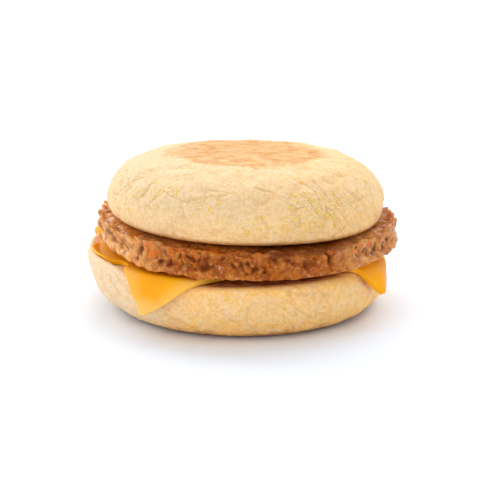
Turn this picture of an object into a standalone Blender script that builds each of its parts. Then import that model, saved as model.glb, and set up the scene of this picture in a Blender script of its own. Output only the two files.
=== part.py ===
"""Breakfast sandwich: a split muffin with a sausage patty and one square slice of cheese.

Blender 4.5, metres, +Z up. The origin is the middle of the flat base that the sandwich
stands on. The layers, from the table up, are heel, cheese_slice, sausage_patty and crown.
"""

import math

import bmesh
import bpy
from mathutils import Matrix, Vector, noise

MM = 0.001
LAYER_GAP = 0.3 * MM  # clear space between two layers that rest on each other

# Heel, the lower half of the muffin: a flat griddled base, a bowed side, a level cut face.
HEEL_BASE_RADIUS = 36.5 * MM
HEEL_RADIUS = 50.6 * MM
HEEL_WIDEST_HEIGHT = 14.0 * MM
HEEL_CUT_RADIUS = 46.9 * MM
HEEL_HEIGHT = 18.7 * MM
HEEL_SHIFT = -0.8 * MM  # along X
HEEL_LEAN = -0.18  # further shift along X for each unit of height

# Cheese: one slice, square when flat, laid off centre so that its corners hang over the rim.
SLICE_SIDE = 84.4 * MM
SLICE_THICKNESS = 1.7 * MM
CORNER_ROUNDING = 0.02  # share by which warmth has drawn the corners in
SLICE_CENTRE = Vector((-5.6 * MM, 0.3 * MM))
SLICE_TURN = math.radians(18.4)
BEND_START = 47.7 * MM  # radius at which the slice begins to bend down
BEND_LENGTH = 3.0 * MM  # the shorter, the tighter the bend
HANG_ANGLE = math.radians(90.0)  # how far a long overhang turns from level
TIP_CURL = math.radians(18.0)  # how far a corner's tip turns back out
HANG_STRETCH = 1.12  # how much longer a warm corner has grown as it hangs
HANG_SPREAD = 3.0  # share by which a hanging corner widens
HANG_SLIP = -0.5  # share by which a hanging corner slips round the heel

# Patty: a disc of minced sausage with a rounded, craggy edge.
PATTY_RADIUS = 51.3 * MM  # to the tops of its crags
PATTY_THICKNESS = 9.2 * MM
PATTY_TOP_ROUNDING = 2.6 * MM
PATTY_FOOT_ROUNDING = 1.2 * MM
PATTY_SAG = 0.4 * MM  # of its lower edge, past the cheese
PATTY_CURL = 1.4 * MM  # how far its left and right edges have curled up in cooking
PATTY_CURL_BIAS = 0.4 * MM  # more than that on the left, less on the right
PATTY_FLAT_RADIUS = 39.0 * MM  # inside this both faces are pressed flat

# Crown, the upper half of the muffin: a low dome whose lip curls under to the cut face.
CROWN_RADIUS = 46.5 * MM
CROWN_CUT_RADIUS = 41.4 * MM
CROWN_WIDEST_HEIGHT = 5.7 * MM
CROWN_HEIGHT = 20.2 * MM
CROWN_SHOULDER = 4.8  # exponent of the dome's outline: the higher, the squarer its shoulder
CROWN_SHIFT = Vector((-0.5 * MM, 0.3 * MM))
CROWN_TILT = Matrix.Rotation(math.radians(1.36), 3, "Y") @ Matrix.Rotation(
    math.radians(-0.47), 3, "X"
)
GRIDDLED_RADIUS = 25.0 * MM  # the flat, smooth patch that the griddle browned

# Heights that follow from the layers.
SLICE_BASE = HEEL_HEIGHT + LAYER_GAP
PATTY_BASE = SLICE_BASE + SLICE_THICKNESS + LAYER_GAP
CROWN_BASE = PATTY_BASE + PATTY_THICKNESS + LAYER_GAP
HEEL_CUT_CENTRE = Vector((HEEL_SHIFT + HEEL_LEAN * HEEL_HEIGHT, 0.0))


def smooth_step(low, high, value):
    """0 below low, 1 above high, and a smooth rise between them."""
    share = min(max((value - low) / (high - low), 0.0), 1.0)
    return share * share * (3.0 - 2.0 * share)


def round_arc(centre, radii, start, end, count):
    """Points of an elliptical arc, as (radius, height), between two angles in degrees."""
    points = []
    for step in range(count + 1):
        angle = math.radians(start + (end - start) * step / count)
        out, up = radii[0] * math.cos(angle), radii[1] * math.sin(angle)
        points.append((centre[0] + out, centre[1] + up))
    return points


def dome_arc(radius, base, height, shoulder, count):
    """The crown's outline from near its middle down to its widest ring, squarer than an ellipse."""
    points = []
    for step in range(1, count + 1):
        angle = math.radians(90.0 * (1.0 - step / count))
        out, up = radius * math.cos(angle) ** (2.0 / shoulder), height * math.sin(angle)
        points.append((out, base + up))
    return points


def turned(name, profile, segments):
    """A solid of revolution about Z. Its profile runs from the axis at the top, out and down, back to it."""
    outline = bpy.data.meshes.new(name)
    vertices = [(radius, 0.0, height) for radius, height in profile]
    outline.from_pydata(vertices, [(i, i + 1) for i in range(len(vertices) - 1)], [])
    body = bpy.data.objects.new(name, outline)
    bpy.context.scene.collection.objects.link(body)
    screw = body.modifiers.new("turn", "SCREW")
    screw.steps = segments
    screw.render_steps = segments
    screw.use_merge_vertices = True
    screw.merge_threshold = 0.00001
    graph = bpy.context.evaluated_depsgraph_get()
    solid = bpy.data.meshes.new_from_object(body.evaluated_get(graph))
    body.modifiers.clear()
    body.data = solid
    solid.name = name
    bpy.data.meshes.remove(outline)
    return body


def carve(body, depth_at):
    """Moves each point of a body inwards, along its normal, by the depth that depth_at gives."""
    points = [(vertex, vertex.co.copy(), vertex.normal.copy()) for vertex in body.data.vertices]
    for vertex, place, normal in points:
        vertex.co = place - normal * depth_at(place)


def skin_depth(place, seed):
    """How far the muffin's skin dips below a smooth form: broad hollows and narrow creases."""
    broad_wave, broad_depth = 26.0 * MM, 0.9 * MM
    crease_wave, crease_depth, crease_width = 13.0 * MM, 0.5 * MM, 0.16
    broad = (1.0 - noise.noise(place / broad_wave + seed)) / 2.0
    crease = 1.0 - abs(noise.noise(place / crease_wave - seed)) / crease_width
    return broad_depth * broad + crease_depth * max(crease, 0.0)


def heel():
    """The lower half: its base and cut face stay flat, and only the side is uneven."""
    profile = [(0.0, HEEL_HEIGHT), (0.7 * HEEL_CUT_RADIUS, HEEL_HEIGHT)]
    shoulder = (HEEL_RADIUS - HEEL_CUT_RADIUS, HEEL_HEIGHT - HEEL_WIDEST_HEIGHT)
    profile += round_arc((HEEL_CUT_RADIUS, HEEL_WIDEST_HEIGHT), shoulder, 90.0, 0.0, 4)
    bow = (HEEL_RADIUS - HEEL_BASE_RADIUS, HEEL_WIDEST_HEIGHT)
    profile += round_arc((HEEL_BASE_RADIUS, HEEL_WIDEST_HEIGHT), bow, 0.0, -90.0, 9)[1:]
    profile += [(0.0, 0.0)]
    body = turned("heel", profile, 70)
    seed = Vector((3.1, 0.7, 5.2))

    def depth_at(place):
        above_base = smooth_step(0.2 * MM, 4.0 * MM, place.z)
        below_cut = smooth_step(0.2 * MM, 3.0 * MM, HEEL_HEIGHT - place.z)
        return skin_depth(place, seed) * above_base * below_cut

    carve(body, depth_at)
    for vertex in body.data.vertices:
        vertex.co.x += HEEL_SHIFT + HEEL_LEAN * vertex.co.z
    return body


def overhang(length, corner_length):
    """How far out and how far down the slice has gone at this length past the start of its bend."""
    steps = 16
    out, down = 0.0, 0.0
    for step in range(steps):
        passed = (step + 0.5) / steps * length
        angle = HANG_ANGLE * (1.0 - math.exp(-passed / BEND_LENGTH))
        angle -= TIP_CURL * smooth_step(0.5 * corner_length, corner_length, passed)
        out += math.cos(angle) * length / steps
        down += math.sin(angle) * length / steps
    return out, down


def draped(place, corner):
    """Where a point of the flat slice comes to lie: on the cut face, or hanging with its corner."""
    arm = place - HEEL_CUT_CENTRE
    corner_arm = corner - HEEL_CUT_CENTRE
    length = arm.length - BEND_START
    if length <= 0.0:
        return Vector((place.x, place.y, SLICE_BASE))
    corner_length = corner_arm.length - BEND_START
    out, down = overhang(length * HANG_STRETCH, corner_length * HANG_STRETCH)
    radius = BEND_START + out
    across = corner_arm.normalized().cross(arm)
    angle = math.asin(across / arm.length)
    angle += HANG_SPREAD * (math.asin(across / radius) - angle)
    angle += math.atan2(corner_arm.y, corner_arm.x) + HANG_SLIP * down / HEEL_RADIUS
    flat = HEEL_CUT_CENTRE + Vector((radius * math.cos(angle), radius * math.sin(angle)))
    return Vector((flat.x - HEEL_LEAN * down, flat.y, SLICE_BASE - down))


def cheese_slice():
    """A square sheet, finer towards its edges, draped and given its thickness upwards."""
    cells = 28
    half = SLICE_SIDE / 2.0
    turn = Matrix.Rotation(SLICE_TURN, 2)
    sheet = bmesh.new()
    bmesh.ops.create_grid(sheet, x_segments=cells, y_segments=cells, size=1.0)
    for vertex in sheet.verts:
        share = [(s + math.sin(s * math.pi / 2.0)) / 2.0 for s in vertex.co.xy]
        corner = Vector([math.copysign(half, s) for s in share])
        rounding = 1.0 - CORNER_ROUNDING * abs(share[0] * share[1]) ** 8
        place = SLICE_CENTRE + turn @ (Vector(share) * half * rounding)
        vertex.co = draped(place, SLICE_CENTRE + turn @ corner)
    mesh = bpy.data.meshes.new("cheese_slice")
    sheet.to_mesh(mesh)
    sheet.free()
    body = bpy.data.objects.new("cheese_slice", mesh)
    bpy.context.scene.collection.objects.link(body)
    thicken = body.modifiers.new("thickness", "SOLIDIFY")
    thicken.thickness = SLICE_THICKNESS
    thicken.offset = 1.0
    return body


def mince_depth(place):
    """How far the patty's edge dips below the tops of its crags: lumps of mince on a wavy outline."""
    lump_size, lump_depth = 6.5 * MM, 1.9 * MM
    wave, wave_depth = 17.0 * MM, 1.3 * MM
    nearest = noise.voronoi(place / lump_size)[0]
    groove = 1.0 - min(nearest[1] - nearest[0], 1.0)
    hollow = (1.0 - noise.noise(place / wave)) / 2.0
    return lump_depth * groove * groove + wave_depth * hollow


def sausage_patty():
    """Flat against the cheese and the crown, craggy and curled at its edge, its top tilted as the crown."""
    corner = PATTY_RADIUS - PATTY_TOP_ROUNDING
    top = PATTY_THICKNESS - PATTY_TOP_ROUNDING
    foot = PATTY_RADIUS - PATTY_FOOT_ROUNDING
    shares = (1.0, 0.66, 0.33, 0.0)
    upper = [PATTY_FLAT_RADIUS + share * (corner - PATTY_FLAT_RADIUS) for share in shares]
    lower = [PATTY_FLAT_RADIUS + share * (foot - PATTY_FLAT_RADIUS) for share in shares]
    profile = [(0.0, PATTY_THICKNESS)]
    profile += [(radius, PATTY_THICKNESS) for radius in reversed(upper)]
    top_radii = (PATTY_TOP_ROUNDING, PATTY_TOP_ROUNDING)
    foot_radii = (PATTY_FOOT_ROUNDING, PATTY_FOOT_ROUNDING)
    profile += round_arc((corner, top), top_radii, 90.0, 0.0, 3)[1:]
    profile += [(PATTY_RADIUS, (top + PATTY_FOOT_ROUNDING) / 2.0)]
    profile += round_arc((foot, PATTY_FOOT_ROUNDING), foot_radii, 0.0, -90.0, 2)
    profile += [(radius, 0.0) for radius in lower[1:]]
    profile += [(0.0, 0.0)]
    body = turned("sausage_patty", profile, 126)

    def depth_at(place):
        near_edge = smooth_step(PATTY_FLAT_RADIUS, corner, place.xy.length)
        side = smooth_step(0.0, 3.0 * MM, place.z)
        return mince_depth(place) * near_edge * (0.2 + 0.8 * side)

    carve(body, depth_at)
    seat = CROWN_TILT @ Vector((0.0, 0.0, 1.0))
    for vertex in body.data.vertices:
        offset = vertex.co.xy - CROWN_SHIFT
        rise = -(seat.x * offset.x + seat.y * offset.y) / seat.z
        vertex.co.z += rise * vertex.co.z / PATTY_THICKNESS
        across = vertex.co.x / PATTY_RADIUS
        curl = PATTY_CURL * across * across - PATTY_CURL_BIAS * across
        vertex.co.z += curl * smooth_step(PATTY_FLAT_RADIUS, PATTY_RADIUS, vertex.co.xy.length)
        vertex.co.z -= PATTY_SAG * smooth_step(BEND_START, PATTY_RADIUS, vertex.co.xy.length)
    body.location.z = PATTY_BASE
    return body


def crown():
    """The upper half: a dome with a smooth griddled top, sitting on its cut face with a slight tilt."""
    dome_height = CROWN_HEIGHT - CROWN_WIDEST_HEIGHT
    profile = [(0.0, CROWN_HEIGHT)]
    profile += dome_arc(CROWN_RADIUS, CROWN_WIDEST_HEIGHT, dome_height, CROWN_SHOULDER, 14)
    lip = (CROWN_RADIUS - CROWN_CUT_RADIUS, CROWN_WIDEST_HEIGHT)
    profile += round_arc((CROWN_CUT_RADIUS, CROWN_WIDEST_HEIGHT), lip, 0.0, -90.0, 4)[1:]
    profile += [(0.0, 0.0)]
    body = turned("crown", profile, 70)
    seed = Vector((0.4, 8.3, 1.9))

    def depth_at(place):
        above_cut = smooth_step(0.2 * MM, 4.0 * MM, place.z)
        off_griddle = smooth_step(GRIDDLED_RADIUS, GRIDDLED_RADIUS + 8.0 * MM, place.xy.length)
        return skin_depth(place, seed) * above_cut * off_griddle

    carve(body, depth_at)
    body.location = (CROWN_SHIFT.x, CROWN_SHIFT.y, CROWN_BASE)
    body.rotation_euler = CROWN_TILT.to_euler()
    return body


def finish(body, colour, roughness):
    """Gives a layer its own Principled material and smooth shading."""
    material = bpy.data.materials.new(body.name)
    material.use_nodes = True
    shader = material.node_tree.nodes["Principled BSDF"]
    shader.inputs["Base Color"].default_value = (*colour, 1.0)
    shader.inputs["Roughness"].default_value = roughness
    shader.inputs["Metallic"].default_value = 0.0
    body.data.materials.clear()
    body.data.materials.append(material)
    body.data.shade_smooth()


def main():
    for old in list(bpy.data.objects):
        bpy.data.objects.remove(old)
    collection = bpy.data.collections.new("breakfast_sandwich")
    bpy.context.scene.collection.children.link(collection)
    layers = [
        (heel(), (0.80, 0.58, 0.32), 0.85),
        (cheese_slice(), (0.95, 0.43, 0.04), 0.35),
        (sausage_patty(), (0.30, 0.11, 0.04), 0.50),
        (crown(), (0.84, 0.63, 0.37), 0.85),
    ]
    for body, colour, roughness in layers:
        finish(body, colour, roughness)
        bpy.context.scene.collection.objects.unlink(body)
        collection.objects.link(body)


main()
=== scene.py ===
import math
import random

import bmesh
import bpy
from mathutils import Matrix, Vector, noise


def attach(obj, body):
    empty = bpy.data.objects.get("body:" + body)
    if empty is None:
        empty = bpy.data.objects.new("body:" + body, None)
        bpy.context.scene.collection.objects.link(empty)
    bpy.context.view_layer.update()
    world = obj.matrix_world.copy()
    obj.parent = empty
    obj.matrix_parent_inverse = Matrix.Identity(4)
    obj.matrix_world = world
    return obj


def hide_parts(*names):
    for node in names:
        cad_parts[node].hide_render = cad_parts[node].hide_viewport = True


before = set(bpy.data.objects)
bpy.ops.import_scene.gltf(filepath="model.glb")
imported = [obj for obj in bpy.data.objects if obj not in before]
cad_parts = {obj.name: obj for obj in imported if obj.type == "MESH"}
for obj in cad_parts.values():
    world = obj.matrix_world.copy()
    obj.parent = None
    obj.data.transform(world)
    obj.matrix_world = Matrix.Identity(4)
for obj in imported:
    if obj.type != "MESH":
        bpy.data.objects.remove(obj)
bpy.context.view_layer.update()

# ---------------------------------------------------------------- heel of the muffin
# The lower half of a split muffin. Its dough is baked in a ring on a griddle, so the base is
# flat and brown, the side bows out pale and wrinkled, and the cut face is toasted where the
# layers lie on it. It stands on its base.
mm = 0.001
layer_gap = 0.3 * mm
heel_height = 18.7 * mm
heel_base_radius = 36.5 * mm
heel_radius = 50.6 * mm
heel_widest_height = 14.0 * mm
heel_cut_radius = 46.9 * mm
heel_shift = -0.8 * mm
heel_lean = -0.18


def eased(low, high, value):
    """0 below low, 1 above high, and a smooth rise between them."""
    share = min(max((value - low) / (high - low), 0.0), 1.0)
    return share * share * (3.0 - 2.0 * share)


def arc(centre, radii, start, end, count):
    """Points of an elliptical arc, as (radius, height), between two angles in degrees."""
    points = []
    for step in range(count + 1):
        angle = math.radians(start + (end - start) * step / count)
        points.append((centre[0] + radii[0] * math.cos(angle), centre[1] + radii[1] * math.sin(angle)))
    return points


def turn_profile(profile, steps):
    """A bmesh turned about Z from a profile that runs from the axis at the top, out and down, and back."""
    body = bmesh.new()
    rim = [body.verts.new((radius, 0.0, height)) for radius, height in profile]
    edges = [body.edges.new(pair) for pair in zip(rim, rim[1:])]
    # one sector is spun, and then doubled until it goes all the way round, which is much quicker
    doublings = 4
    sectors = 2 ** doublings
    sector_angle = math.tau / sectors
    bmesh.ops.spin(body, geom=rim + edges, cent=(0, 0, 0), axis=(0, 0, 1), dvec=(0, 0, 0),
                   angle=sector_angle, steps=steps // sectors, use_duplicate=False)
    for doubling in range(doublings):
        copy = bmesh.ops.duplicate(body, geom=body.verts[:] + body.edges[:] + body.faces[:])
        copied = [part for part in copy["geom"] if isinstance(part, bmesh.types.BMVert)]
        turn = Matrix.Rotation(sector_angle * 2 ** doubling, 3, "Z")
        bmesh.ops.rotate(body, verts=copied, cent=(0, 0, 0), matrix=turn)
    bmesh.ops.remove_doubles(body, verts=body.verts, dist=0.002 * mm)
    bmesh.ops.recalc_face_normals(body, faces=body.faces)
    body.normal_update()
    return body


hollow_size = 26.0 * mm
hollow_depth = 0.9 * mm
furrow_spacing = 13.0 * mm
furrow_width = 0.16
furrow_depth = 0.5 * mm


def broad_dips(place, seed):
    """The muffin's large hollows and furrows, which its solid has too."""
    hollow = (1.0 - noise.noise(place / hollow_size + seed)) / 2.0
    furrow = 1.0 - abs(noise.noise(place / furrow_spacing - seed)) / furrow_width
    return hollow_depth * hollow + furrow_depth * max(furrow, 0.0)


# without this noise_vector would give other values on each run
noise.seed_set(1)
crease_spacing = 9.5 * mm
crease_width = 0.11
pleat_width = 2.6 * mm
pleat_length = 8.0 * mm
pleat_along = Vector((0.62, 0.1, -0.78))
pleat_across = Vector((0.78, 0.1, 0.62))
pleated_reach = 13.0 * mm


def fine_wrinkles(place, seed, pleated):
    """Depth of the skin's own creases, pleats and crumb, and how much of it is crease, from 0 to 1."""
    slow_sway = noise.noise_vector(place / (12.0 * mm) + seed) * (4.5 * mm)
    quick_sway = noise.noise_vector(place / (3.0 * mm)) * (0.6 * mm)
    sway = slow_sway + quick_sway
    near = noise.voronoi((place + sway) / crease_spacing + seed)[0]
    patch = eased(-0.05, 0.25, noise.noise(place / (9.0 * mm) + seed * 2.0))
    crease = max(0.0, 1.0 - (near[1] - near[0]) / crease_width) ** 1.5 * patch
    pleat_place = Vector((place.dot(pleat_across) / pleat_width, place.dot(pleat_along) / pleat_length,
                          place.y / pleat_length))
    pleat = max(0.0, 1.0 - abs(noise.noise(pleat_place + seed)) / 0.20) ** 1.5 * pleated
    swell = noise.noise(place / (5.0 * mm) + seed) + 0.5 * noise.noise(place / (2.6 * mm) + seed)
    crumb = noise.noise(place / (1.9 * mm) + seed) * (0.5 + pleated)
    depth = 0.38 * crease + 0.68 * pleat + 0.28 * swell + 0.06 * crumb
    return depth * mm, min(1.0, crease + 0.9 * pleat)


def bake_skin(body, seed, steady_at, toast_at, golden_at, pleat_middle):
    """Presses dips and wrinkles into a turned muffin half, and stores its crease, toast and gold masks."""
    crease_layer = body.verts.layers.float.new("crease")
    toast_layer = body.verts.layers.float.new("toast")
    golden_layer = body.verts.layers.float.new("golden")
    moves = []
    for vert in body.verts:
        rough, broad = steady_at(vert.co)
        pleated = math.exp(-((vert.co - pleat_middle).length / pleated_reach) ** 2)
        depth, crease = fine_wrinkles(vert.co, seed, pleated)
        toast = toast_at(vert.co)
        depth = depth * rough * (1.0 - 0.6 * toast) + broad_dips(vert.co, seed) * broad
        vert[crease_layer] = crease * rough
        vert[toast_layer] = toast
        vert[golden_layer] = golden_at(vert.co)
        moves.append((vert, vert.co - vert.normal * depth))
    for vert, place in moves:
        vert.co = place


def piece_from(body, name):
    """A smooth-shaded object at the origin made from a finished bmesh."""
    mesh = bpy.data.meshes.new(name)
    body.to_mesh(mesh)
    body.free()
    mesh.shade_smooth()
    piece = bpy.data.objects.new(name, mesh)
    bpy.context.scene.collection.objects.link(piece)
    return piece


cut_face_shares = (0.0, 0.3, 0.55, 0.72, 0.82, 0.88, 0.92, 0.95, 0.975)
heel_profile = [(share * heel_cut_radius, heel_height) for share in cut_face_shares]
heel_profile += arc((heel_cut_radius, heel_widest_height),
                    (heel_radius - heel_cut_radius, heel_height - heel_widest_height), 90.0, 0.0, 12)
heel_profile += arc((heel_base_radius, heel_widest_height),
                    (heel_radius - heel_base_radius, heel_widest_height), 0.0, -90.0, 34)[1:]
heel_profile += [(share * heel_base_radius, 0.0) for share in (0.96, 0.9, 0.8, 0.6, 0.3, 0.0)]
heel_steps = 640
heel_body = turn_profile(heel_profile, heel_steps)
heel_seed = Vector((3.1, 0.7, 5.2))
# between the two front corners of the slice the cut edge is crisp and full
full_side_angle = math.radians(-75.0)
full_side = Vector((math.cos(full_side_angle), math.sin(full_side_angle)))
full_cut_radius = 48.1 * mm


def rim_radius(height, cut_radius, squareness):
    """Radius of the heel's rim at a height over its widest point, for an edge ending at this cut radius."""
    rise = min(max((height - heel_widest_height) / (heel_height - heel_widest_height), 0.0), 1.0)
    return cut_radius + (heel_radius - cut_radius) * (1.0 - rise ** squareness) ** (1.0 / squareness)


for vert in heel_body.verts:
    reach = max(vert.co.xy.length, mm)
    full = eased(0.83, 0.94, vert.co.xy.dot(full_side) / reach) * eased(30.0 * mm, heel_cut_radius, reach)
    fuller = rim_radius(vert.co.z, full_cut_radius, 2.3) / rim_radius(vert.co.z, heel_cut_radius, 2.0) - 1.0
    vert.co.xy *= 1.0 + full * fuller
heel_body.normal_update()
left_rise = 2.1 * mm
cut_centre = Vector((heel_shift + heel_lean * heel_height, 0.0))


def settled(place):
    """Where a point of the heel, or of the slice over its rim, lies: the rim stands up at the far left."""
    outer = eased(45.2 * mm, 48.2 * mm, (place.xy - cut_centre).length)
    outer *= eased(5.0 * mm, 14.0 * mm, place.z)
    risen = left_rise * eased(34.0 * mm, 44.0 * mm, -place.x) * outer
    return Vector((place.x, place.y, place.z + risen))


def heel_golden(place):
    """How golden the baked skin is: most at its foot and rim, and hardly at the far left."""
    side = eased(-40.0 * mm, -10.0 * mm, place.x)
    low = 1.0 - eased(2.0 * mm, 11.0 * mm, place.z)
    rim = eased(14.0 * mm, 18.5 * mm, place.z)
    return min(1.0, (0.72 + 0.45 * low + 0.4 * rim) * side + 0.15 * noise.noise(place / (9.0 * mm)))


def heel_steady(place):
    """The shares of the wrinkles and of the broad dips that reach here: none on the flat faces."""
    below_cut = heel_height - place.z
    wrinkled = eased(0.0, 1.5 * mm, place.z) * eased(-0.1 * mm, 1.0 * mm, below_cut)
    dipped = eased(0.2 * mm, 4.0 * mm, place.z) * eased(0.2 * mm, 3.0 * mm, below_cut)
    return wrinkled, dipped


def heel_toast_and_gap_shade(place):
    """How brown the dough is toasted: on its base, and on its cut face up to a ragged edge on the rim, where
    it also paints the shade in the gap under the patty.
    """
    ragged = noise.noise(place / (7.0 * mm)) * 0.9 * mm
    # both wander up and down by this, and the rim is hardly toasted at the left
    base = 1.0 - eased(0.2 * mm, 3.6 * mm, place.z + ragged)
    reach = place.xy.length + ragged + 14.0 * mm * eased(15.0 * mm, 42.0 * mm, -place.x)
    cut = 1.0 - eased(heel_cut_radius - 2.0 * mm, heel_cut_radius + 3.0 * mm, reach)
    return max(0.8 * base, cut * eased(heel_height - 3.0 * mm, heel_height - 0.7 * mm, place.z))


heel_pleats = Vector((20.0, -45.0, 9.0)) * mm
bake_skin(heel_body, heel_seed, heel_steady, heel_toast_and_gap_shade, heel_golden, heel_pleats)
for vert in heel_body.verts:
    vert.co.x += heel_shift + heel_lean * vert.co.z
    vert.co = settled(vert.co)
heel = piece_from(heel_body, "muffin_heel")


def rgb(red, green, blue):
    """A colour given as it shows on a screen, from 0 to 255, as the shader wants it."""
    return tuple(((part / 255.0 + 0.055) / 1.055) ** 2.4 if part > 10 else part / 3294.6
                 for part in (red, green, blue)) + (1.0,)


def add_node(tree, kind, inputs=None, **settings):
    """A node with its settings, input values and links in one call."""
    node = tree.nodes.new(kind)
    for setting, value in settings.items():
        setattr(node, setting, value)
    for socket, value in (inputs or {}).items():
        if isinstance(value, bpy.types.NodeSocket):
            tree.links.new(value, node.inputs[socket])
        else:
            node.inputs[socket].default_value = value
    return node


def add_mix(tree, share, first, second, blend="MIX"):
    """The colour between first and second."""
    node = tree.nodes.new("ShaderNodeMix")
    node.data_type = "RGBA"
    node.blend_type = blend
    for socket, value in ((node.inputs[0], share), (node.inputs[6], first), (node.inputs[7], second)):
        if isinstance(value, bpy.types.NodeSocket):
            tree.links.new(value, socket)
        else:
            socket.default_value = value
    return node.outputs[2]


def add_range(tree, value, low, high, to_low=0.0, to_high=1.0):
    """value, eased from low..high to to_low..to_high."""
    node = add_node(tree, "ShaderNodeMapRange", {"Value": value, "From Min": low, "From Max": high,
                                                 "To Min": to_low, "To Max": to_high},
                    interpolation_type="SMOOTHSTEP")
    return node.outputs["Result"]


def add_math(tree, operation, first, second=0.0):
    """One Math node."""
    return add_node(tree, "ShaderNodeMath", {0: first, 1: second}, operation=operation).outputs[0]


def spots(tree, place, size, edge_low, edge_high):
    """Round specks about as far apart as size, 1 in each speck's middle and 0 outside it."""
    cells = add_node(tree, "ShaderNodeTexVoronoi", {"Vector": place, "Scale": 1.0 / size})
    return add_range(tree, cells.outputs["Distance"], edge_low, edge_high, 1.0, 0.0)


def cloud(tree, place, size, detail=3.0, rough=0.55):
    """Soft noise with features about as wide as size."""
    return add_node(tree, "ShaderNodeTexNoise", {"Vector": place, "Scale": 1.0 / size, "Detail": detail,
                                                 "Roughness": rough}).outputs["Fac"]


skin_group = bpy.data.node_groups.new("griddled_dough", "ShaderNodeTree")
for socket_name in ("Pale", "Golden", "Toast"):
    skin_group.interface.new_socket(socket_name, in_out="INPUT", socket_type="NodeSocketColor")
skin_group.interface.new_socket("Corn Amount", in_out="INPUT", socket_type="NodeSocketFloat")
skin_group.interface.new_socket("Color", in_out="OUTPUT", socket_type="NodeSocketColor")
skin_group.interface.new_socket("Roughness", in_out="OUTPUT", socket_type="NodeSocketFloat")
skin_group.interface.new_socket("Height", in_out="OUTPUT", socket_type="NodeSocketFloat")
given = skin_group.nodes.new("NodeGroupInput").outputs
place = add_node(skin_group, "ShaderNodeTexCoord").outputs["Object"]
# the masks that bake_skin stored
crease = add_node(skin_group, "ShaderNodeAttribute", attribute_name="crease").outputs["Fac"]
toast = add_node(skin_group, "ShaderNodeAttribute", attribute_name="toast").outputs["Fac"]
golden = add_node(skin_group, "ShaderNodeAttribute", attribute_name="golden").outputs["Fac"]
colour = add_mix(skin_group, golden, given["Pale"], given["Golden"])
# a fine mottle that yellows where it darkens
mottle = add_range(skin_group, cloud(skin_group, place, 1.1 * mm, 3.0, 0.65), 0.38, 0.62, -0.15, 0.15)
mottle = add_math(skin_group, "ADD", mottle, 1.0)
colour = add_mix(skin_group, 1.0, colour, add_node(skin_group, "ShaderNodeCombineColor", {
    "Red": add_math(skin_group, "POWER", mottle, 0.35), "Green": add_math(skin_group, "POWER", mottle, 0.6),
    "Blue": mottle}).outputs["Color"], "MULTIPLY")
# pink patches, yellow blotches of meal dust and pale flecks of flour
pinkish = add_range(skin_group, cloud(skin_group, place, 4.5 * mm, 3.0), 0.48, 0.70, 0.0, 0.45)
colour = add_mix(skin_group, pinkish, colour, rgb(246, 205, 166))
blotch = add_range(skin_group, cloud(skin_group, place, 2.6 * mm, 3.0, 0.65), 0.56, 0.70)
blotch = add_math(skin_group, "MULTIPLY", blotch, given["Corn Amount"])
blotch = add_math(skin_group, "MULTIPLY", blotch, add_range(skin_group, golden, 0.1, 0.8, 0.35, 1.0))
colour = add_mix(skin_group, blotch, colour, rgb(232, 186, 96))
flour = add_range(skin_group, cloud(skin_group, place, 2.6 * mm, 3.0, 0.6), 0.53, 0.64)
flour = add_math(skin_group, "MULTIPLY", flour, add_range(skin_group, golden, 0.2, 0.9, 0.05, 0.5))
colour = add_mix(skin_group, flour, colour, rgb(246, 220, 172))
# painted shade: the skin is darker and browner down its creases and pleats
crease_shade = add_math(skin_group, "MULTIPLY", crease, 0.4)
colour = add_mix(skin_group, crease_shade, colour, rgb(222, 168, 100))
# the griddle's brown, in short streaks, with darker blisters along its edge
streak_place = add_node(skin_group, "ShaderNodeMapping", {"Vector": place, "Scale": (0.6, 1.0, 1.0)})
streak = cloud(skin_group, streak_place.outputs["Vector"], 2.4 * mm, 5.0, 0.75)
toast_share = add_math(skin_group, "MULTIPLY", toast, add_range(skin_group, streak, 0.36, 0.64, 0.5, 1.15))
colour = add_mix(skin_group, toast_share, colour, given["Toast"])
part_toasted = add_math(skin_group, "MULTIPLY", add_range(skin_group, toast, 0.1, 0.4),
                        add_range(skin_group, toast, 0.45, 0.8, 1.0, 0.0))
blister = add_math(skin_group, "MULTIPLY", part_toasted, spots(skin_group, place, 2.4 * mm, 0.15, 0.34))
colour = add_mix(skin_group, add_math(skin_group, "MULTIPLY", blister, 0.55), colour, rgb(186, 122, 62))
# fine grain and pores for the bump
fine = cloud(skin_group, place, 0.8 * mm, 3.0, 0.6)
pores = spots(skin_group, place, 1.1 * mm, 0.05, 0.3)
height = add_math(skin_group, "SUBTRACT", fine, add_math(skin_group, "MULTIPLY", pores, 0.35))
rough = add_range(skin_group, fine, 0.3, 0.7, 0.62, 0.82)
add_node(skin_group, "NodeGroupOutput", {"Color": colour, "Roughness": rough, "Height": height})


def dough_material(name, pale, golden, brown, corn_amount):
    """Baked dough with its own paleness, browning and amount of cornmeal."""
    material = bpy.data.materials.new(name)
    material.use_nodes = True
    tree = material.node_tree
    shader = tree.nodes["Principled BSDF"]
    skin = tree.nodes.new("ShaderNodeGroup")
    skin.node_tree = skin_group
    skin.inputs["Pale"].default_value = pale
    skin.inputs["Golden"].default_value = golden
    skin.inputs["Toast"].default_value = brown
    skin.inputs["Corn Amount"].default_value = corn_amount
    bump = add_node(tree, "ShaderNodeBump", {"Height": skin.outputs["Height"], "Strength": 0.4,
                                             "Distance": 0.25 * mm})
    tree.links.new(skin.outputs["Color"], shader.inputs["Base Color"])
    tree.links.new(skin.outputs["Roughness"], shader.inputs["Roughness"])
    tree.links.new(bump.outputs["Normal"], shader.inputs["Normal"])
    shader.inputs["Specular IOR Level"].default_value = 0.3
    shader.inputs["Subsurface Weight"].default_value = 0.25
    shader.inputs["Subsurface Radius"].default_value = (1.0, 0.55, 0.25)
    shader.inputs["Subsurface Scale"].default_value = 1.6 * mm
    return material


# the heel's brown is dark: toasting, and on the rim also painted shade in the gap under the patty
heel.data.materials.append(dough_material("heel_dough", pale=rgb(235, 204, 164), golden=rgb(250, 195, 113),
                                          brown=rgb(150, 72, 14), corn_amount=0.4))
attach(heel, "root")
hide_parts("heel")

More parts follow.
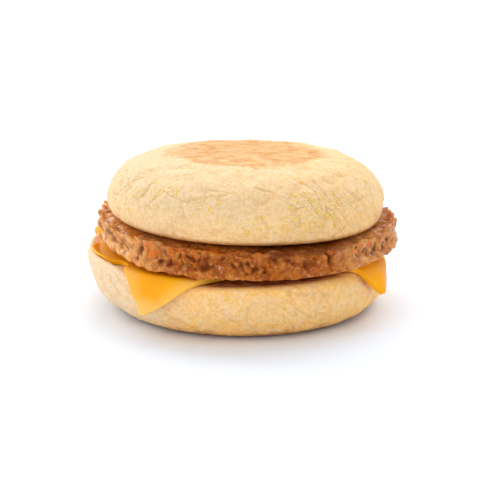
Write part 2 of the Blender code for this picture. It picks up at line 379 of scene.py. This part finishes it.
# ---------------------------------------------------------------- slice of cheese
# One square slice of processed cheese, laid on the warm heel before the patty. It is soft
# and waxy, and its corners have bent down over the rim. The patty's weight holds it.
slice_side = 84.4 * mm
slice_thickness = 1.7 * mm
slice_base = heel_height + layer_gap
slice_centre = Vector((-5.6 * mm, 0.3 * mm))
slice_turn = Matrix.Rotation(math.radians(18.4), 2)
bend_start = 47.7 * mm
bend_length = 3.0 * mm
hang_angle = math.radians(90.0)
tip_curl = math.radians(18.0)
# a loose corner is stretched a little as it hangs, draws in towards its middle line and swings to one side
hang_stretch = 1.12
hang_spread = 3.0
hang_slip = -0.5


def overhang(length, corner_length):
    """How far out and how far down the slice has gone at this length past the start of its bend."""
    steps = 24
    out, down = 0.0, 0.0
    for step in range(steps):
        passed = (step + 0.5) / steps * length
        angle = hang_angle * (1.0 - math.exp(-passed / bend_length))
        angle -= tip_curl * eased(0.5 * corner_length, corner_length, passed)
        out += math.cos(angle) * length / steps
        down += math.sin(angle) * length / steps
    return out, down


def drape(place, corner, loose):
    """Where a point of the slice lies: on the cut face, or hanging over its rim, loose with its corner."""
    arm = place - cut_centre
    corner_arm = corner - cut_centre
    length = arm.length - bend_start
    if length <= 0.0:
        return Vector((place.x, place.y, slice_base))
    corner_length = corner_arm.length - bend_start
    out, down = overhang(length * hang_stretch, corner_length * hang_stretch)
    radius = bend_start + out
    across = corner_arm.normalized().cross(arm)
    angle = math.asin(across / arm.length)
    angle += loose * hang_spread * (math.asin(across / radius) - angle)
    angle += math.atan2(corner_arm.y, corner_arm.x) + loose * hang_slip * down / heel_radius
    flat = cut_centre + Vector((radius * math.cos(angle), radius * math.sin(angle)))
    return Vector((flat.x - heel_lean * down, flat.y, slice_base - down))


cheese_body = bmesh.new()
bmesh.ops.create_grid(cheese_body, x_segments=120, y_segments=120, size=1.0)
# for its colour: a painted highlight on the thin pale borders and tip, and painted shade, a deeper orange,
# on the side of a fold that faces down
edge_highlight_layer = cheese_body.verts.layers.float.new("pale_edge_highlight")
fold_shade_layer = cheese_body.verts.layers.float.new("fold_shade")
flowed = []
# the slice has melted over the rim in one lobe on its left edge, its front edge is drawn in under the
# patty, and its right-hand flap hangs with a fold down its middle
left_lobe = 4.6 * mm
flap_tuck = 1.1 * mm
left_draw = 2.8 * mm
front_draw = 3.0 * mm
fold_height = 1.2 * mm
fold_width = 5.0 * mm
for vert in cheese_body.verts:
    # place on the slice from -1 to 1, with the grid's rows closer together near its edges
    share = Vector([(part + math.sin(part * math.pi / 2.0)) / 2.0 for part in vert.co.xy])
    far = abs(share.x * share.y)
    border = eased(0.90, 0.99, max(abs(share.x), abs(share.y))) * eased(0.30, 0.62, far)
    tip = eased(1.76, 1.88, abs(share.x) + abs(share.y))
    # painted highlight on the front-left flap's thin borders and tip
    vert[edge_highlight_layer] = max(0.6 * border, tip) if max(share) < 0.0 else 0.0
    corner = Vector([math.copysign(slice_side / 2.0, part) for part in share])
    leftward = max(-share.x, 0.0) ** 3
    lobe = leftward * math.exp(-(abs(share.y) / 0.26) ** 3)
    flowed.append(lobe)
    inset = eased(0.22, 0.45, share.y) * (1.0 - eased(0.60, 0.95, share.y))
    inset += eased(0.18, 0.30, -share.y) * (1.0 - eased(0.40, 0.56, -share.y))
    tuck = eased(0.50, 0.70, -share.y) * (1.0 - eased(0.85, 1.0, -share.y))
    inset = (left_draw * inset + flap_tuck * tuck) * leftward
    draw = max(-share.y, 0.0) ** 3 * (1.0 - eased(0.30, 0.62, abs(share.x)))
    rounding = 1.0 - 0.02 * far ** 8
    flat = share * (rounding * slice_side / 2.0) + Vector((inset - left_lobe * lobe, front_draw * draw))
    flat = slice_centre + slice_turn @ flat
    lying = drape(flat, slice_centre + slice_turn @ corner, eased(0.25, 0.45, far))
    if share.x > 0.0 > share.y:
        off_fold = (share.x + share.y) * slice_side / 2.0 ** 1.5
        # painted shade on the side of the fold that faces down
        vert[fold_shade_layer] = eased(-0.5 * mm, 1.5 * mm, off_fold) * eased(0.3, 0.6, far)
        fold = max(1.0 - abs(off_fold) / fold_width, 0.0) * eased(0.5 * mm, 5.0 * mm, slice_base - lying.z)
        lying.xy += lying.xy.normalized() * (fold_height * fold)
    vert.co = settled(lying)
bmesh.ops.recalc_face_normals(cheese_body, faces=cheese_body.faces)
if sum(face.normal.z for face in cheese_body.faces) < 0.0:
    bmesh.ops.reverse_faces(cheese_body, faces=cheese_body.faces)
cheese_body.normal_update()
cheese = piece_from(cheese_body, "cheese_slice_soft")
full_thickness = cheese.vertex_groups.new(name="full_thickness")
for index, lobe in enumerate(flowed):
    full_thickness.add([index], 1.0 - lobe, "REPLACE")
melted_share = 0.3
thicken = cheese.modifiers.new("thickness", "SOLIDIFY")
thicken.thickness = slice_thickness
thicken.offset = 1.0
thicken.vertex_group = "full_thickness"
thicken.thickness_vertex_group = melted_share
soften = cheese.modifiers.new("soft_edge", "BEVEL")
soften.width = 0.45 * mm
soften.segments = 3
soften.limit_method = "ANGLE"
soften.angle_limit = math.radians(50.0)

cheese_paint = bpy.data.materials.new("cheese_wax")
cheese_paint.use_nodes = True
tree = cheese_paint.node_tree
shader = tree.nodes["Principled BSDF"]
place = add_node(tree, "ShaderNodeTexCoord").outputs["Object"]
streaky = add_range(tree, cloud(tree, place, 14.0 * mm, 2.0), 0.35, 0.65)
colour = add_mix(tree, streaky, rgb(255, 174, 16), rgb(252, 164, 8))
pale_edge_highlight = add_node(tree, "ShaderNodeAttribute", attribute_name="pale_edge_highlight").outputs["Fac"]
# painted highlight: the front-left flap's thin borders and tip are paler
colour = add_mix(tree, add_math(tree, "MULTIPLY", pale_edge_highlight, 0.6), colour, rgb(255, 206, 120))
# painted shade: the side of the right flap's fold that faces down is a deeper orange
fold_shade = add_node(tree, "ShaderNodeAttribute", attribute_name="fold_shade").outputs["Fac"]
colour = add_mix(tree, add_math(tree, "MULTIPLY", fold_shade, 0.6), colour, rgb(244, 140, 0))
tree.links.new(colour, shader.inputs["Base Color"])
ripple = add_node(tree, "ShaderNodeBump", {"Height": cloud(tree, place, 5.0 * mm, 2.0), "Strength": 0.12,
                                           "Distance": 0.5 * mm})
tree.links.new(ripple.outputs["Normal"], shader.inputs["Normal"])
shader.inputs["Roughness"].default_value = 0.4
shader.inputs["Specular IOR Level"].default_value = 0.14
shader.inputs["Subsurface Weight"].default_value = 0.5
shader.inputs["Subsurface Radius"].default_value = (1.0, 0.5, 0.12)
shader.inputs["Subsurface Scale"].default_value = 2.5 * mm
cheese.data.materials.append(cheese_paint)
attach(cheese, "root")
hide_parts("cheese_slice")

# ---------------------------------------------------------------- sausage patty
# Minced sausage pressed into a disc and browned on a griddle. Its faces are flat, its edge is
# a wall of mince lumps with grooves and pits between them, and fat shines on all of it.
patty_radius = 51.3 * mm
patty_thickness = 9.2 * mm
patty_top_rounding = 2.6 * mm
patty_foot_rounding = 1.2 * mm
patty_sag = 0.4 * mm
patty_curl = 1.4 * mm
patty_curl_bias = 0.4 * mm
patty_flat_radius = 39.0 * mm
patty_base = slice_base + slice_thickness + layer_gap
crown_shift = Vector((-0.5 * mm, 0.3 * mm))
crown_tilt = Matrix.Rotation(math.radians(1.36), 3, "Y") @ Matrix.Rotation(math.radians(-0.47), 3, "X")
patty_corner = patty_radius - patty_top_rounding
patty_foot = patty_radius - patty_foot_rounding
patty_core = Vector((patty_radius - patty_thickness / 2.0, patty_thickness / 2.0))

patty_profile = [(share * patty_flat_radius, patty_thickness) for share in (0.0, 0.4, 0.7, 0.85, 0.93)]
patty_profile += [(patty_flat_radius + (patty_corner - patty_flat_radius) * step / 22.0, patty_thickness)
                  for step in range(22)]
patty_profile += arc((patty_corner, patty_thickness - patty_top_rounding),
                     (patty_top_rounding, patty_top_rounding), 90.0, 0.0, 10)
wall = patty_thickness - patty_top_rounding - patty_foot_rounding
patty_profile += [(patty_radius, patty_foot_rounding + wall * (1.0 - step / 14.0)) for step in range(1, 14)]
patty_profile += arc((patty_foot, patty_foot_rounding),
                     (patty_foot_rounding, patty_foot_rounding), 0.0, -90.0, 5)
patty_profile += [(patty_foot - (patty_foot - patty_flat_radius) * step / 12.0, 0.0)
                  for step in range(1, 12)]
patty_profile += [(share * patty_flat_radius, 0.0) for share in (1.0, 0.9, 0.7, 0.4, 0.0)]
patty_steps = 800
patty_body = turn_profile(patty_profile, patty_steps)


big_lump_size = 6.5 * mm
groove_depth = 1.6 * mm
wave_length = 17.0 * mm
wave_depth = 1.2 * mm


def mince_dips(place):
    """The large lumps and the wavy outline, which the patty's solid has too."""
    near = noise.voronoi(place / big_lump_size)[0]
    groove = 1.0 - min(near[1] - near[0], 1.0)
    hollow = (1.0 - noise.noise(place / wave_length)) / 2.0
    return groove_depth * groove * groove + wave_depth * hollow


# the mince has cracked right through its front wall in one place, with smooth plates beside the crack
crack_place = 26.0 * mm
crack_width = 0.65 * mm
lump_size = 3.4 * mm
crumb_size = 1.9 * mm
hole_size = 2.4 * mm
hole_threshold = 0.72


def crumb_dips(place):
    """Depth of the mince's lumps, crumbs and torn pits, and how far down in them the point is, 0 to 1."""
    sway = noise.noise_vector(place / (3.5 * mm)) * (1.6 * mm)
    torn = noise.noise(place / (8.0 * mm) + Vector((3.0, 8.0, 1.0)))
    torn += 0.25 * math.sin(-2.2 * place.x / patty_radius)
    torn = eased(-0.25, 0.25, torn)
    low = 1.0 - eased(5.5 * mm, 8.5 * mm, place.z)
    share = (0.3 + 0.7 * torn) * (0.5 + 0.5 * low)
    smooth = 1.0 - 0.6 * eased(36.0 * mm, 46.0 * mm, place.x) * eased(3.0 * mm, 6.5 * mm, place.z)
    plate = eased(20.0 * mm, 25.0 * mm, place.x) * (1.0 - eased(33.0 * mm, 37.0 * mm, place.x))
    smooth *= 1.0 - 0.6 * plate
    split = (place.x - crack_place + 0.35 * (place.z - 5.0 * mm) + 0.3 * sway.x) / crack_width
    crack = math.exp(-split * split) * eased(1.5 * mm, 3.5 * mm, place.z)
    crack *= 1.0 - eased(7.0 * mm, 9.0 * mm, place.z)
    if place.y > 0.0:
        crack = 0.0
    lump = noise.voronoi((place + sway) / lump_size)[0]
    crumb = noise.voronoi((place + sway) / crumb_size + Vector((2.0, 7.0, 4.0)))[0]
    hole_near, hole_middles = noise.voronoi((place - 0.7 * sway) / hole_size + Vector((5.0, 2.0, 9.0)))
    # each hole has its own size, and most of the cells have none
    chance = noise.cell(hole_middles[0] * 9.7) + 0.40 * torn
    hole = 1.0 - eased(0.10, 0.30 + 0.35 * chance, hole_near[0])
    if chance < hole_threshold:
        hole = 0.0
    hole *= 0.4 + 0.6 * low
    lump_edge = lump[0] * lump[0] * (0.35 + 0.65 * low)
    crumb_edge = crumb[0] * crumb[0] * share
    foot = eased(0.5 * mm, 2.5 * mm, place.z)
    pit = (0.62 * lump_edge + 0.75 * crumb_edge + 0.5 * hole) * (0.3 + 0.7 * foot) * smooth
    pit = min(1.0, pit + 0.6 * crack)
    depth = (1.3 * lump_edge + 1.1 * crumb_edge + 0.9 * hole) * smooth + 1.1 * crack
    return (depth + 0.1 * noise.noise(place / (0.9 * mm))) * mm, pit


def inward(place):
    """The way into the disc from its skin: down or up on its faces, towards the rim's core at its edge."""
    radius = place.xy.length
    side = max(radius - patty_core.x, 0.0)
    height = place.z - patty_core.y
    height *= abs(height) / patty_core.y
    flat = place.xy * (side / max(radius, mm))
    return -Vector((flat.x, flat.y, height)).normalized()


def sear_and_crown_shade(place):
    """How dark it is here: griddle browning on top of the rim, and a painted shadow of the crown, most under
    its front and right.
    """
    top = eased(6.0 * mm, 8.6 * mm, place.z + 2.2 * mm * noise.noise(place / (3.5 * mm)))
    side = eased(-14.0 * mm, 8.0 * mm, place.x) * (1.0 - 0.8 * eased(24.0 * mm, 40.0 * mm, place.x))
    inner = 1.0 - eased(46.5 * mm, 49.5 * mm, place.xy.length)
    left = 0.3 * inner * eased(-46.0 * mm, -34.0 * mm, place.x)
    return max(top * (0.1 + 0.9 * max(side, left)), 0.2 * side)


def paleness_and_sheen(place):
    """How pale the mince is here, most at its two sides: partly fat, and partly a painted sheen at its lit
    left end.
    """
    left = eased(15.0 * mm, 48.0 * mm, -place.x)
    right = 0.75 * eased(25.0 * mm, 38.0 * mm, place.x) * (1.0 - 0.4 * eased(38.0 * mm, 46.0 * mm, place.x))
    return left + right


pit_layer = patty_body.verts.layers.float.new("pit")
sear_and_shade_layer = patty_body.verts.layers.float.new("sear_and_crown_shade")
pale_and_sheen_layer = patty_body.verts.layers.float.new("pale")
seat = crown_tilt @ Vector((0.0, 0.0, 1.0))
# past the first depth a dip goes on ever more slowly, by the second at most
deepest = 2.4 * mm
deeper = 0.8 * mm
moves = []
for vert in patty_body.verts:
    near_edge = eased(patty_flat_radius, patty_corner, vert.co.xy.length)
    side = eased(0.0, 3.0 * mm, vert.co.z)
    crumb, pit = crumb_dips(vert.co)
    vert[pit_layer] = pit
    vert[sear_and_shade_layer] = sear_and_crown_shade(vert.co)
    vert[pale_and_sheen_layer] = paleness_and_sheen(vert.co)
    lumps = mince_dips(vert.co) * near_edge * (0.2 + 0.8 * side)
    depth = lumps + crumb * (0.3 + 0.7 * near_edge) * (0.4 + 0.6 * side)
    if depth > deepest:
        depth = deepest + deeper * (1.0 - math.exp((deepest - depth) / deeper))
    moves.append((vert, vert.co + inward(vert.co) * depth))
for vert, place in moves:
    vert.co = place
# the rim stands up a little round the crown, swells where it sticks out past it on the right, and is
# drawn in at its foot on the left, where the slice shows
swollen = 1.7 * mm
risen_rim = 1.1 * mm
foot_draw = 2.4 * mm
for vert in patty_body.verts:
    low = 1.0 - eased(0.5 * mm, 6.0 * mm, vert.co.z)
    vert.co.xy *= 1.0 - foot_draw / patty_radius * low * eased(30.0 * mm, 44.0 * mm, -vert.co.x)
    offset = vert.co.xy - crown_shift
    rise = -(seat.x * offset.x + seat.y * offset.y) / seat.z
    across = vert.co.x / patty_radius
    rise += swollen * eased(0.84, 0.97, across) + risen_rim * eased(46.5 * mm, 49.5 * mm, vert.co.xy.length)
    vert.co.z += rise * vert.co.z / patty_thickness
    curl = patty_curl * across * across - patty_curl_bias * across
    vert.co.z += curl * eased(patty_flat_radius, patty_radius, vert.co.xy.length)
    vert.co.z -= patty_sag * eased(bend_start, patty_radius, vert.co.xy.length)
    vert.co.z += patty_base
patty = piece_from(patty_body, "sausage_mince")

patty_paint = bpy.data.materials.new("browned_mince")
patty_paint.use_nodes = True
tree = patty_paint.node_tree
shader = tree.nodes["Principled BSDF"]
place = add_node(tree, "ShaderNodeTexCoord").outputs["Object"]
pit = add_node(tree, "ShaderNodeAttribute", attribute_name="pit").outputs["Fac"]
seared_or_shaded = add_node(tree, "ShaderNodeAttribute", attribute_name="sear_and_crown_shade").outputs["Fac"]
pale = add_node(tree, "ShaderNodeAttribute", attribute_name="pale").outputs["Fac"]
# browned meat, paler at the sides, partly from fat and partly from a painted sheen at the left end
tone = add_range(tree, cloud(tree, place, 3.0 * mm, 3.0, 0.6), 0.36, 0.62)
colour = add_mix(tree, tone, rgb(152, 70, 10), rgb(190, 106, 34))
fatty = add_range(tree, cloud(tree, place, 3.0 * mm), 0.35, 0.6, 0.35, 0.95)
pale_and_sheen_share = add_math(tree, "MULTIPLY", pale, fatty)
colour = add_mix(tree, pale_and_sheen_share, colour, rgb(247, 182, 104))
# tan speckles, pale pinkish bits that are partly gristle and partly painted glints of fat, and orange glazed
# spots
speckle = add_range(tree, cloud(tree, place, 1.4 * mm, 3.0, 0.6), 0.48, 0.64, 0.0, 0.7)
colour = add_mix(tree, speckle, colour, rgb(214, 140, 66))
# painted glints: pale pinkish specks, partly gristle
gristle_and_glint_bits = add_range(tree, cloud(tree, place, 1.8 * mm, 4.0, 0.7), 0.58, 0.68)
gristle_and_glint_patch = add_range(tree, cloud(tree, place, 7.0 * mm), 0.46, 0.6, 0.0, 0.5)
gristle_and_glint = add_math(tree, "MULTIPLY", gristle_and_glint_bits, gristle_and_glint_patch)
colour = add_mix(tree, gristle_and_glint, colour, rgb(246, 206, 176))
glaze = add_range(tree, cloud(tree, place, 4.2 * mm, 2.0), 0.58, 0.68, 0.0, 0.7)
colour = add_mix(tree, glaze, colour, rgb(222, 106, 14))
# painted shadow of the crown with the griddle's sear on top, and painted shade in the pits
colour = add_mix(tree, add_math(tree, "MULTIPLY", seared_or_shaded, 0.8), colour, rgb(96, 40, 6))
# painted shade: the pits, grooves and crack are darkened in colour as well as by their depth
painted_pit_shade = add_range(tree, pit, 0.20, 0.72, 0.0, 0.88)
painted_pit_shade = add_math(tree, "MULTIPLY", painted_pit_shade, add_range(tree, pale, 0.3, 1.0, 1.0, 0.75))
colour = add_mix(tree, painted_pit_shade, colour, rgb(90, 29, 2))
tree.links.new(colour, shader.inputs["Base Color"])
grain = cloud(tree, place, 0.7 * mm, 3.0, 0.65)
bump = add_node(tree, "ShaderNodeBump", {"Height": grain, "Strength": 0.4, "Distance": 0.2 * mm})
tree.links.new(bump.outputs["Normal"], shader.inputs["Normal"])
dullness = add_range(tree, cloud(tree, place, 2.5 * mm), 0.35, 0.65, 0.2, 0.5)
tree.links.new(dullness, shader.inputs["Roughness"])
# melted fat lies on the lumps, not in the pits or on the seared top with its painted shadow of the crown
fat = add_range(tree, cloud(tree, place, 2.2 * mm, 2.0), 0.45, 0.65, 0.1, 1.0)
fat = add_math(tree, "MULTIPLY", fat, add_range(tree, pale, 0.0, 1.0, 0.3, 1.0))
fat = add_math(tree, "MULTIPLY", fat, add_range(tree, pit, 0.2, 0.6, 1.0, 0.0))
fat = add_math(tree, "MULTIPLY", fat, add_range(tree, seared_or_shaded, 0.0, 0.6, 1.0, 0.15))
tree.links.new(fat, shader.inputs["Coat Weight"])
shader.inputs["Coat Roughness"].default_value = 0.12
shader.inputs["Specular IOR Level"].default_value = 0.08
shader.inputs["Subsurface Weight"].default_value = 0.08
shader.inputs["Subsurface Radius"].default_value = (1.0, 0.35, 0.15)
shader.inputs["Subsurface Scale"].default_value = 1.0 * mm
patty.data.materials.append(patty_paint)
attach(patty, "root")
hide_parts("sausage_patty")

# ---------------------------------------------------------------- crown of the muffin
# The upper half: a low dome of pale dough whose top was flattened and browned on the griddle.
# Its lip curls under to the toasted cut face. It rests on the patty with a slight tilt.
crown_radius = 46.5 * mm
crown_cut_radius = 41.4 * mm
crown_widest_height = 5.7 * mm
crown_height = 20.2 * mm
crown_shoulder = 4.8
griddled_radius = 25.0 * mm
crown_base = patty_base + patty_thickness + layer_gap

crown_profile = [(0.0, crown_height)]
dome_rows = 110
for row in range(1, dome_rows + 1):
    angle = math.radians(90.0 * (1.0 - row / dome_rows))
    crown_profile.append((crown_radius * math.cos(angle) ** (2.0 / crown_shoulder),
                          crown_widest_height + (crown_height - crown_widest_height) * math.sin(angle)))
crown_profile += arc((crown_cut_radius, crown_widest_height),
                     (crown_radius - crown_cut_radius, crown_widest_height), 0.0, -90.0, 14)[1:]
crown_profile += [(share * crown_cut_radius, 0.0) for share in (0.98, 0.95, 0.9, 0.8, 0.6, 0.3, 0.0)]
crown_steps = 720
crown_body = turn_profile(crown_profile, crown_steps)


def lip_radius(height, cut_radius, squareness):
    """Radius of the lip at a height under its widest point, for a lip that ends at this cut radius."""
    fall = min(max(1.0 - height / crown_widest_height, 0.0), 1.0)
    return cut_radius + (crown_radius - cut_radius) * (1.0 - fall ** squareness) ** (1.0 / squareness)


# its lip is fuller at the front, and the shoulder between the flat top and the side stands a little proud,
# most of all at its right
full_lip_radius = 44.3 * mm
shoulder_radius = 35.0 * mm
shoulder_width = 7.0 * mm
shoulder_rise = 0.7 * mm
for vert in crown_body.verts:
    reach = max(vert.co.xy.length, mm)
    front = max(-vert.co.y / reach, (0.5 * vert.co.x - 0.866 * vert.co.y) / reach, 0.0) ** 2
    fuller = lip_radius(vert.co.z, full_lip_radius, 3.4) / lip_radius(vert.co.z, crown_cut_radius, 2.0) - 1.0
    vert.co.xy *= 1.0 + front * fuller
    ridge = math.exp(-((reach - shoulder_radius) / shoulder_width) ** 2)
    upper = eased(crown_widest_height, crown_height - 3.0 * mm, vert.co.z)
    vert.co.z += shoulder_rise * ridge * upper * (1.0 + 0.35 * vert.co.x / reach)
crown_body.normal_update()
crown_seed = Vector((0.4, 8.3, 1.9))
patch_centre = Vector((0.5 * mm, 2.5 * mm))


def crown_steady(place):
    """The shares of the wrinkles and of the broad dips that reach here: no dips on the flat griddled top."""
    wrinkled = eased(0.0, 1.5 * mm, place.z)
    dipped = eased(0.2 * mm, 4.0 * mm, place.z)
    dipped *= eased(griddled_radius, griddled_radius + 8.0 * mm, place.xy.length)
    return wrinkled, dipped


def crown_toast(place):
    """How brown it is toasted: a patchy round spot with a ragged edge on its top, and its cut face."""
    ragged = noise.noise(place / (6.0 * mm)) * 3.2 * mm + noise.noise(place / (2.0 * mm)) * 3.0 * mm
    reach = (place.xy - patch_centre).length
    patch = 1.0 - eased(griddled_radius - 2.5 * mm, griddled_radius + 3.5 * mm, reach + ragged)
    patch *= eased(15.0 * mm, 17.0 * mm, place.z) * (0.78 + 0.5 * noise.noise(place / (5.0 * mm)))
    lip = 1.0 - eased(0.4 * mm, 1.7 * mm, place.z)
    return max(patch, lip)


def crown_golden(place):
    """How golden the baked skin is: most low down and at its right."""
    low = 1.0 - eased(1.0 * mm, 14.0 * mm, place.z)
    side = eased(-30.0 * mm, 30.0 * mm, place.x)
    return min(1.0, low * (0.65 + 0.3 * side) + 0.45 * side + 0.12 * noise.noise(place / (9.0 * mm)))


crown_pleats = Vector((27.0, -34.0, 11.0)) * mm
bake_skin(crown_body, crown_seed, crown_steady, crown_toast, crown_golden, crown_pleats)
settle = Matrix.Translation((crown_shift.x, crown_shift.y, crown_base)) @ crown_tilt.to_4x4()
bmesh.ops.transform(crown_body, matrix=settle, verts=crown_body.verts)
crown = piece_from(crown_body, "muffin_crown")
crown.data.materials.append(dough_material("crown_dough", pale=rgb(229, 200, 156), golden=rgb(243, 197, 132),
                                           brown=rgb(204, 140, 62), corn_amount=0.8))
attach(crown, "root")
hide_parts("crown")

# ---------------------------------------------------------------- cornmeal
# Grains of cornmeal that the dough was rolled in, most of them in loose drifts. They are hard yellow
# and cream bits, most of them under a millimetre across, baked halfway into the skin of both halves.
rng = random.Random(11)
# side of the muffin half in degrees, height on it, how far the drift spreads, and its grains
crown_drifts = ((296.0, 10.0, 7.0, 200),
                (300.0, 5.0, 6.0, 130),
                (270.0, 4.0, 5.0, 50),
                (230.0, 16.0, 6.0, 50),
                (222.0, 12.0, 7.0, 45),
                (316.0, 14.0, 8.0, 80),
                (250.0, 9.0, 8.0, 40))
heel_drifts = ((285.0, 9.0, 7.0, 60),
               (262.0, 13.0, 7.0, 50),
               (312.0, 10.0, 8.0, 50),
               (240.0, 6.0, 8.0, 20))
griddled_top = 24.0 * mm
drift_distance = 45.0 * mm


def pick_places(half, drifts, low, high, spare):
    """Places and normals on a muffin half: most in its drifts, and spare ones all round."""
    mesh = half.data
    picked = []
    skin = [vert for vert in mesh.vertices if low < vert.co.z < high and vert.co.xy.length > griddled_top]
    for side, height, spread, count in drifts:
        middle = Vector((math.cos(math.radians(side)), math.sin(math.radians(side)), 0.0)) * drift_distance
        middle.z = low + height * mm
        near = [(vert, (vert.co - middle).length / (spread * mm)) for vert in skin]
        near = [(vert, math.exp(-far * far)) for vert, far in near if far < 2.2]
        if near:
            picked += rng.choices([vert for vert, share in near], [share for vert, share in near], k=count)
    picked += rng.choices(skin, k=spare)
    return [(vert.co.copy(), vert.normal.copy()) for vert in picked]


grain_body = bmesh.new()
grain_places = pick_places(crown, crown_drifts, crown_base + 1.0 * mm, crown_base + 18.0 * mm, 300)
grain_places += pick_places(heel, heel_drifts, 1.5 * mm, 17.0 * mm, 220)
rng.shuffle(grain_places)
# the grains are made a handful at a time, which is much quicker than all of them in one mesh
handful_size = 60
yellow_share = 0.6
handful_mesh = bpy.data.meshes.new("handful")
for first in range(0, len(grain_places), handful_size):
    handful = bmesh.new()
    for place, normal in grain_places[first:first + handful_size]:
        size = 0.16 * mm + rng.random() ** 2 * 0.42 * mm
        spin = Matrix.Rotation(rng.uniform(0.0, math.tau), 4, "Z")
        turn = normal.to_track_quat("Z", "Y").to_matrix().to_4x4() @ spin
        shape = Matrix.Diagonal((rng.uniform(0.8, 1.6), rng.uniform(0.7, 1.1), 0.5, 1.0))
        bmesh.ops.create_icosphere(handful, subdivisions=1, radius=size,
                                   matrix=Matrix.Translation(place) @ turn @ shape)
    meal = 0 if rng.random() < yellow_share else 1
    for face in handful.faces:
        face.material_index = meal
    handful.to_mesh(handful_mesh)
    handful.free()
    grain_body.from_mesh(handful_mesh)
bpy.data.meshes.remove(handful_mesh)
cornmeal = piece_from(grain_body, "cornmeal_grains")


def grain_material(name, colour):
    """Hard, slightly shiny meal."""
    material = bpy.data.materials.new(name)
    material.use_nodes = True
    shader = material.node_tree.nodes["Principled BSDF"]
    shader.inputs["Base Color"].default_value = colour
    shader.inputs["Roughness"].default_value = 0.45
    shader.inputs["Subsurface Weight"].default_value = 0.3
    shader.inputs["Subsurface Radius"].default_value = (1.0, 0.7, 0.3)
    shader.inputs["Subsurface Scale"].default_value = 0.5 * mm
    return material


cornmeal.data.materials.append(grain_material("yellow_meal", rgb(250, 206, 100)))
cornmeal.data.materials.append(grain_material("cream_meal", rgb(250, 214, 162)))
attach(cornmeal, "root")

# ---------------------------------------------------------------- table, light and camera
# A plain white table under soft daylight from above and the left, and a long lens from the front.
table_reach = 6.0
table_body = bmesh.new()
bmesh.ops.create_grid(table_body, x_segments=1, y_segments=1, size=table_reach)
table = piece_from(table_body, "table")
table_paint = bpy.data.materials.new("white_table")
table_paint.use_nodes = True
table_shader = table_paint.node_tree.nodes["Principled BSDF"]
table_shader.inputs["Base Color"].default_value = (0.86, 0.915, 0.995, 1.0)
table_shader.inputs["Roughness"].default_value = 0.9
table_shader.inputs["Specular IOR Level"].default_value = 0.1
table.data.materials.append(table_paint)

room = bpy.data.worlds.new("room")
room.use_nodes = True
room.node_tree.nodes["Background"].inputs["Color"].default_value = (0.98, 0.99, 1.0, 1.0)
room.node_tree.nodes["Background"].inputs["Strength"].default_value = 0.84
bpy.context.scene.world = room

# name, the side it stands on and how high, both in degrees, its energy and how wide it is
soft_lights = (("window_left", 135.0, 25.0, 1.05, 40.0),
               ("panel_behind", 68.0, 50.0, 1.46, 60.0),
               ("panel_front", 225.0, 25.0, 0.47, 50.0))
for name, side, rise, energy, width in soft_lights:
    lamp = bpy.data.lights.new(name, "SUN")
    lamp.energy = energy
    lamp.angle = math.radians(width)
    stand = bpy.data.objects.new(name, lamp)
    stand.rotation_euler = (math.radians(90.0 - rise), 0.0, math.radians(90.0 + side))
    bpy.context.scene.collection.objects.link(stand)

camera = bpy.data.cameras.new("camera")
camera.lens = 96.6
camera.sensor_width = 36.0
viewer = bpy.data.objects.new("camera", camera)
viewer.location = (0.0, -0.43727, 0.13627)
looked_at = Vector((0.0011, 0.0, 0.0174))
viewer.rotation_euler = (looked_at - viewer.location).to_track_quat("-Z", "Y").to_euler()
bpy.context.scene.collection.objects.link(viewer)
bpy.context.scene.camera = viewer
bpy.context.scene.view_settings.view_transform = "Standard"
